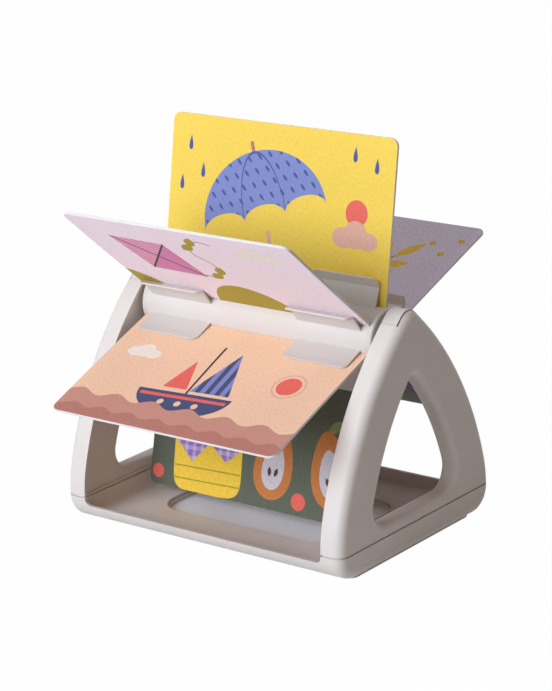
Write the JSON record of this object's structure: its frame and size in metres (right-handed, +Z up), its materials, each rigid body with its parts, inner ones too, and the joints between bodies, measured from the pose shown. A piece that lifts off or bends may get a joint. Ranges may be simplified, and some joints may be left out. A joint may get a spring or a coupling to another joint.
{
  "type": "tummy time book",
  "caption": "Tummy time book: arched side panels on a tray base carry a drum that turns about a level axis and clips removable double-sided picture cards like pages.",
  "frame": {"origin": "on the ground, under the middle of the base, below the drum's axis", "axes": "+Z up; +X along the drum's axis, towards the right side panel as seen from the front; the front of the tray faces -Y"},
  "size_m": [0.238, 0.2484, 0.274],
  "materials": {
    "body_plastic": "fine satin, warm white-grey moulding",
    "drum_plastic": "fine satin, warm white-grey moulding",
    "inlay_sheet": "smooth blue-grey sheet",
    "picture_board": "thick board, printed on both faces with a fine felt-like grain",
    "screw_steel": "plain zinc"
  },
  "bodies": {
    "stand": {"base_tray": "body_plastic", "base_cover": "body_plastic", "side_shell_left": "body_plastic", "side_shell_right": "body_plastic", "side_liner_left": "body_plastic", "side_liner_right": "body_plastic", "bearing_cap_left": "body_plastic", "bearing_cap_right": "body_plastic", "recess_inlay": "inlay_sheet", "cover_screws": "screw_steel", "panel_screws": "screw_steel"},
    "drum": {"drum_core": "drum_plastic", "drum_end_cap_left": "drum_plastic", "drum_end_cap_right": "drum_plastic", "drum_segment_1": "drum_plastic", "drum_segment_2": "drum_plastic", "drum_segment_3": "drum_plastic", "drum_segment_4": "drum_plastic", "drum_segment_5": "drum_plastic", "drum_segment_6": "drum_plastic", "drum_screws": "screw_steel", "picture_card_1": "picture_board", "picture_card_2": "picture_board", "picture_card_3": "picture_board", "picture_card_4": "picture_board", "picture_card_5": "picture_board", "picture_card_6": "picture_board"}
  },
  "joints": [
    {"name": "drum_spin", "type": "hinge", "parent": "stand", "child": "drum", "pos_m": [0, 0, 0.1438], "axis": [1, 0, 0], "continuous": true}
  ]
}
